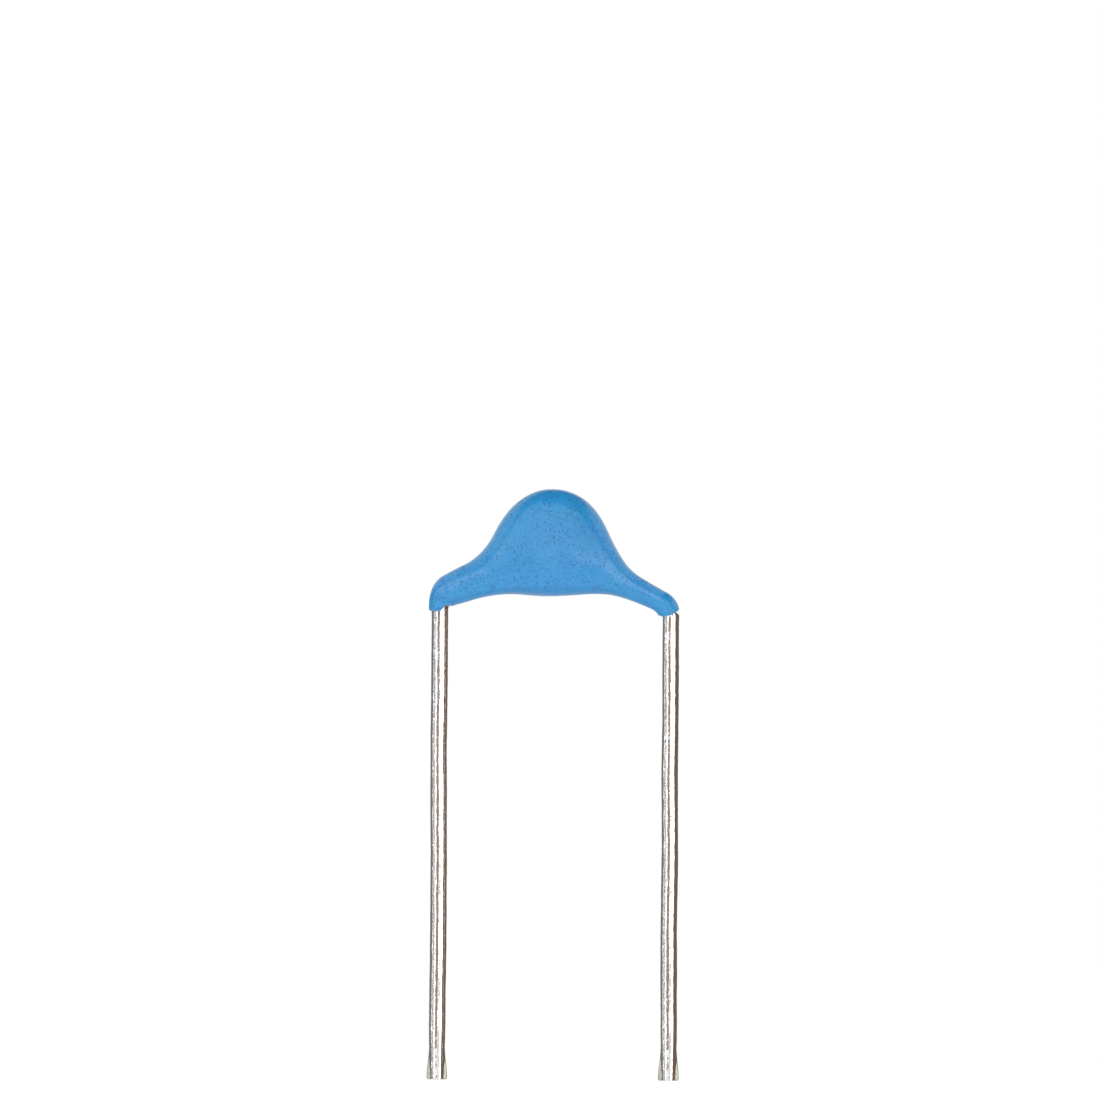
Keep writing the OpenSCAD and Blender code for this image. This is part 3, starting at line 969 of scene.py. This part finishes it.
def lamp(name, span, radiance):
    """Area lamp that spans two angles round the object. Its power is radiance x pi x area."""
    start, stop = np.radians(span)
    middle, half = (start + stop) / 2, (stop - start) / 2
    data = bpy.data.lights.new(name, "AREA")
    data.shape = "RECTANGLE"
    data.size = 2 * LAMP_DISTANCE * np.tan(half)
    data.size_y = LAMP_HEIGHT
    data.energy = radiance * np.pi * data.size * data.size_y
    piece = linked(name, data)
    place = Vector((np.sin(middle) * LAMP_DISTANCE, -np.cos(middle) * LAMP_DISTANCE, 0))
    piece.location = place
    piece.rotation_euler = (-place).to_track_quat("-Z", "Y").to_euler()
    piece.visible_camera = False


def card(name, points, tint):
    """Card of the surround in one colour: a grid of points, seen by reflections only."""
    rows, columns, _ = points.shape
    i = np.arange(rows - 1)[:, None] * columns + np.arange(columns - 1)
    faces = np.stack([i, i + 1, i + columns + 1, i + columns], -1).reshape(-1, 4)
    mesh = bpy.data.meshes.new(name)
    mesh.from_pydata(points.reshape(-1, 3).tolist(), [], faces.tolist())
    f = Finish(name)
    mesh.materials.append(f.ended(f.glow(tint)))
    piece = linked(name, mesh)
    for rays in ("camera", "diffuse", "shadow"):
        setattr(piece, "visible_" + rays, False)


def upright_card(name, radius, span, heights, tint, columns=2):
    """Card on a circle round the object, between two angles and two heights."""
    a = np.radians(np.linspace(*span, columns))
    points = [np.stack([radius * np.sin(a), -radius * np.cos(a), 0 * a + z], -1) for z in heights]
    card(name, np.array(points), tint)


def make_room(studio):
    """World that dull surfaces see as a soft front light, and all other rays as white."""
    world = bpy.data.worlds.new("studio")
    bpy.context.scene.world = world
    f = Finish("studio", world)
    white = f.white_seen()
    front = unit(np.array([0, -1, -studio.ambient_drop]))
    inputs = {0: f.place("Generated"), 1: front}
    toward = f.node("ShaderNodeVectorMath", {"operation": "DOT_PRODUCT"}, inputs, "Value")
    (front_share, front_power), (back_share, back_power) = ROOM_FRONT, ROOM_BACK
    facing = ROOM_EVEN + front_share * (0.5 + 0.5 * toward) ** front_power
    facing = facing + back_share * (0.5 - 0.5 * toward) ** back_power
    strength = white + (1 - white) * (studio.ambient * facing)
    glow = f.node("ShaderNodeBackground", {}, {"Color": (1, 1, 1, 1), "Strength": strength})
    f.node("ShaderNodeOutputWorld", {}, {"Surface": glow})


def make_floor(studio, height):
    """Pale floor under the leads' tips, plain white away from its middle."""
    bpy.ops.mesh.primitive_plane_add(size=FLOOR_WIDTH, location=(0, 0, height))
    floor = bpy.context.object
    floor.name = "floor"
    f = Finish("floor")
    seen = f.white_seen()
    radius = f.node("ShaderNodeVectorMath", {"operation": "LENGTH"}, {0: f.place()}, "Value")
    near = 1 - radius.between(*FLOOR_NEAR)
    dull = f.node("ShaderNodeBsdfDiffuse", {}, {"Color": (*studio.floor, 1)})
    lift = f.glow(f.mix(seen, FLOOR_LIFT_DULL, FLOOR_LIFT_SEEN))
    dull = f.node("ShaderNodeAddShader", {}, {0: dull, 1: lift})
    white = f.glow((1, 1, 1))
    plain = seen * (1 - near * FLOOR_SHADED)
    shader = f.node("ShaderNodeMixShader", {}, {0: plain, 1: dull, 2: white})
    floor.data.materials.append(f.ended(shader))
    floor.visible_glossy = False


def make_surround(studio):
    """Cards that give the wires their bands: a barrel round the Y axis, and upright cards."""
    degrees = np.linspace(SURROUND[0][0], SURROUND[-1][0], BARREL_POINTS[0])
    turn = np.radians(degrees)
    around, front, back = np.array(SURROUND).T
    front, back = (np.interp(degrees, around, edge) for edge in (front, back))
    depth = np.linspace(0, 1, BARREL_POINTS[1])[:, None]
    y = -BARREL_RADIUS / np.tan(np.radians(front + (back - front) * depth))
    x, z = BARREL_RADIUS * np.cos(turn), BARREL_RADIUS * np.sin(turn)
    barrel = np.stack([x + 0 * y, y, z + 0 * y], -1)
    low, high = np.searchsorted(degrees, BARREL_SPLITS)
    stretches = {"right": (0, low + 1), "top": (low, high + 1), "left": (high, None)}
    for side, stretch in stretches.items():
        name = "card_" + side
        card(name, barrel[:, slice(*stretch)], getattr(studio, name))
    for middle in SLAT_MIDDLES:
        half = -middle / SLAT_SPREAD
        span = (middle - half, middle + half)
        upright_card("card_slat", CARD_RADIUS, span, SLAT_HEIGHTS, studio.card_slat)
    upright_card("card_gap", GAP_RADIUS, GAP_SPAN, GAP_HEIGHTS, studio.card_gap)
    for name, heights in VEIL_HEIGHTS.items():
        tint = getattr(studio, name)
        upright_card("card_veil", CARD_RADIUS, VEIL_SPAN, heights, tint, columns=6)
    below = np.array([[[x, y, BELOW_HEIGHT] for x in BELOW_X] for y in BELOW_Y])
    card("card_below", below, studio.card_below)


def make_camera(studio):
    """Camera with a long lens, in front of the object and level with it."""
    data = bpy.data.cameras.new("camera")
    data.lens = studio.lens
    data.sensor_width = 36
    data.clip_start, data.clip_end = 0.01, 10
    camera = linked("camera", data)
    camera.location = (studio.camera_x, -studio.camera_distance, studio.camera_z)
    camera.rotation_euler = (np.pi / 2, studio.camera_roll, 0)
    bpy.context.scene.camera = camera


class CAPACITOR_OT_studio(bpy.types.Operator):
    """Make the floor, the surround, the lamps and the camera"""

    bl_idname = "capacitor.studio"
    bl_label = "Studio"

    def execute(self, context):
        scene = context.scene
        studio = scene.capacitor_studio
        scene.view_settings.view_transform = "Standard"
        make_room(studio)
        make_floor(studio, -scene.capacitor_sizes.lead_length)
        for name, span in LAMP_SPANS.items():
            lamp(name, span, studio.lamp_radiance)
        make_surround(studio)
        make_camera(studio)
        return {"FINISHED"}


# ---- the add-on ----


class CAPACITOR_PT_panel(bpy.types.Panel):
    """Sizes, colours and operators of the capacitor"""

    bl_idname = "CAPACITOR_PT_panel"
    bl_label = "Ceramic Disc Capacitor"
    bl_space_type = "VIEW_3D"
    bl_region_type = "UI"
    bl_category = "Capacitor"

    def draw(self, context):
        for group in GROUPS:
            box = self.layout.box()
            owner = getattr(context.scene, group)
            for name in owner.bl_rna.properties.keys():
                if name not in ("rna_type", "name"):
                    box.prop(owner, name)
        for step in STEPS:
            self.layout.operator(step.bl_idname)


GROUPS = {
    "capacitor_sizes": CapacitorSizes,
    "capacitor_finishes": CapacitorFinishes,
    "capacitor_studio": CapacitorStudio,
}
STEPS = (CAPACITOR_OT_leads, CAPACITOR_OT_coating, CAPACITOR_OT_layers, CAPACITOR_OT_studio)
CLASSES = (*GROUPS.values(), *STEPS, CAPACITOR_PT_panel)


def register():
    for one in CLASSES:
        bpy.utils.register_class(one)
    for name, group in GROUPS.items():
        setattr(bpy.types.Scene, name, bpy.props.PointerProperty(type=group))


def unregister():
    for name in GROUPS:
        delattr(bpy.types.Scene, name)
    for one in reversed(CLASSES):
        bpy.utils.unregister_class(one)


def main():
    """Makes every piece."""
    register()
    bpy.ops.capacitor.leads()
    bpy.ops.capacitor.coating()
    bpy.ops.capacitor.layers()
    bpy.ops.capacitor.studio()


if __name__ == "__main__":
    main()
